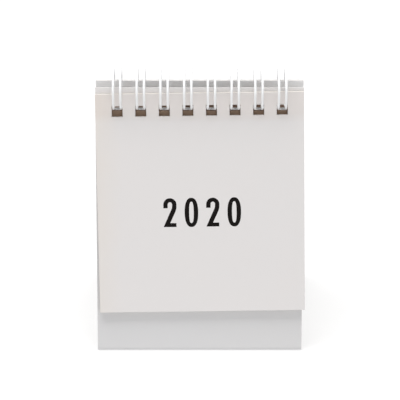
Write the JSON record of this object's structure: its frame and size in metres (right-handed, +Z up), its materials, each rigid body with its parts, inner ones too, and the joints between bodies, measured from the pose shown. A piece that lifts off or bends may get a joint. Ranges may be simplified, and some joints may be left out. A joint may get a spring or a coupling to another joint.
{
  "type": "desk calendar",
  "caption": "Small tent-shaped desk calendar: paper leaves that turn over a white twin-loop wire comb at the top of a folded card stand.",
  "frame": {"origin": "middle of the stand's resting face", "axes": "+Z up; the leaves face -Y, and the wire comb runs along X"},
  "size_m": [0.0762, 0.0554, 0.1027],
  "materials": {
    "card": "matt white card",
    "enamelled_wire": "white enamel on steel wire",
    "leaf_paper": "matt white paper",
    "cover_paper": "matt white cover paper with a plain number printed in black"
  },
  "bodies": {
    "stand": {"stand": "card", "wire_binding": "enamelled_wire"},
    "pages": {"page_block": "leaf_paper"},
    "cover": {"cover_sheet": "cover_paper"}
  },
  "joints": [
    {"name": "pages_turn", "type": "hinge", "parent": "stand", "child": "pages", "pos_m": [0, -0.00155, 0.09511], "axis": [-1, 0, 0], "range_deg": [0, 180]},
    {"name": "cover_turn", "type": "hinge", "parent": "pages", "child": "cover", "pos_m": [0, -0.00155, 0.09511], "axis": [-1, 0, 0], "range_deg": [0, 180]}
  ]
}
